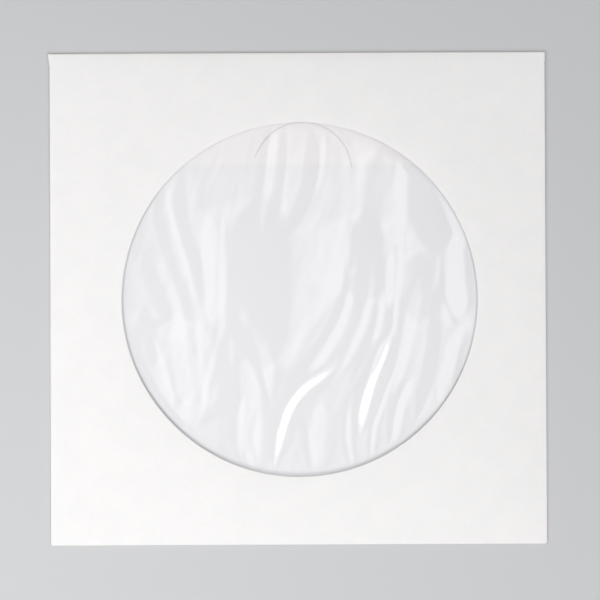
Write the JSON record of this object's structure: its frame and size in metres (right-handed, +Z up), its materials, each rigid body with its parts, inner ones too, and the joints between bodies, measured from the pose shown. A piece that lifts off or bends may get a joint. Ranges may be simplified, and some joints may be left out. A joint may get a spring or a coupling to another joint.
{
  "type": "cd sleeve",
  "caption": "Folded paper sleeve for a disc: round clear film window in front, half-moon tuck slit in the back, and a closing flap folded behind.",
  "frame": {"origin": "centre of the underside, on the surface that the sleeve lies on", "axes": "+Z up, out of the window side; +Y towards the fold of the closing flap; +X to the right, looking at the window side with the flap's fold at the top"},
  "size_m": [0.1254, 0.1246, 0.0019],
  "materials": {
    "white_paper": "uncoated matte",
    "clear_film": "clear, wrinkled, glossy"
  },
  "bodies": {
    "root": {"paper_sleeve": "white_paper", "window_film": "clear_film"}
  },
  "joints": []
}
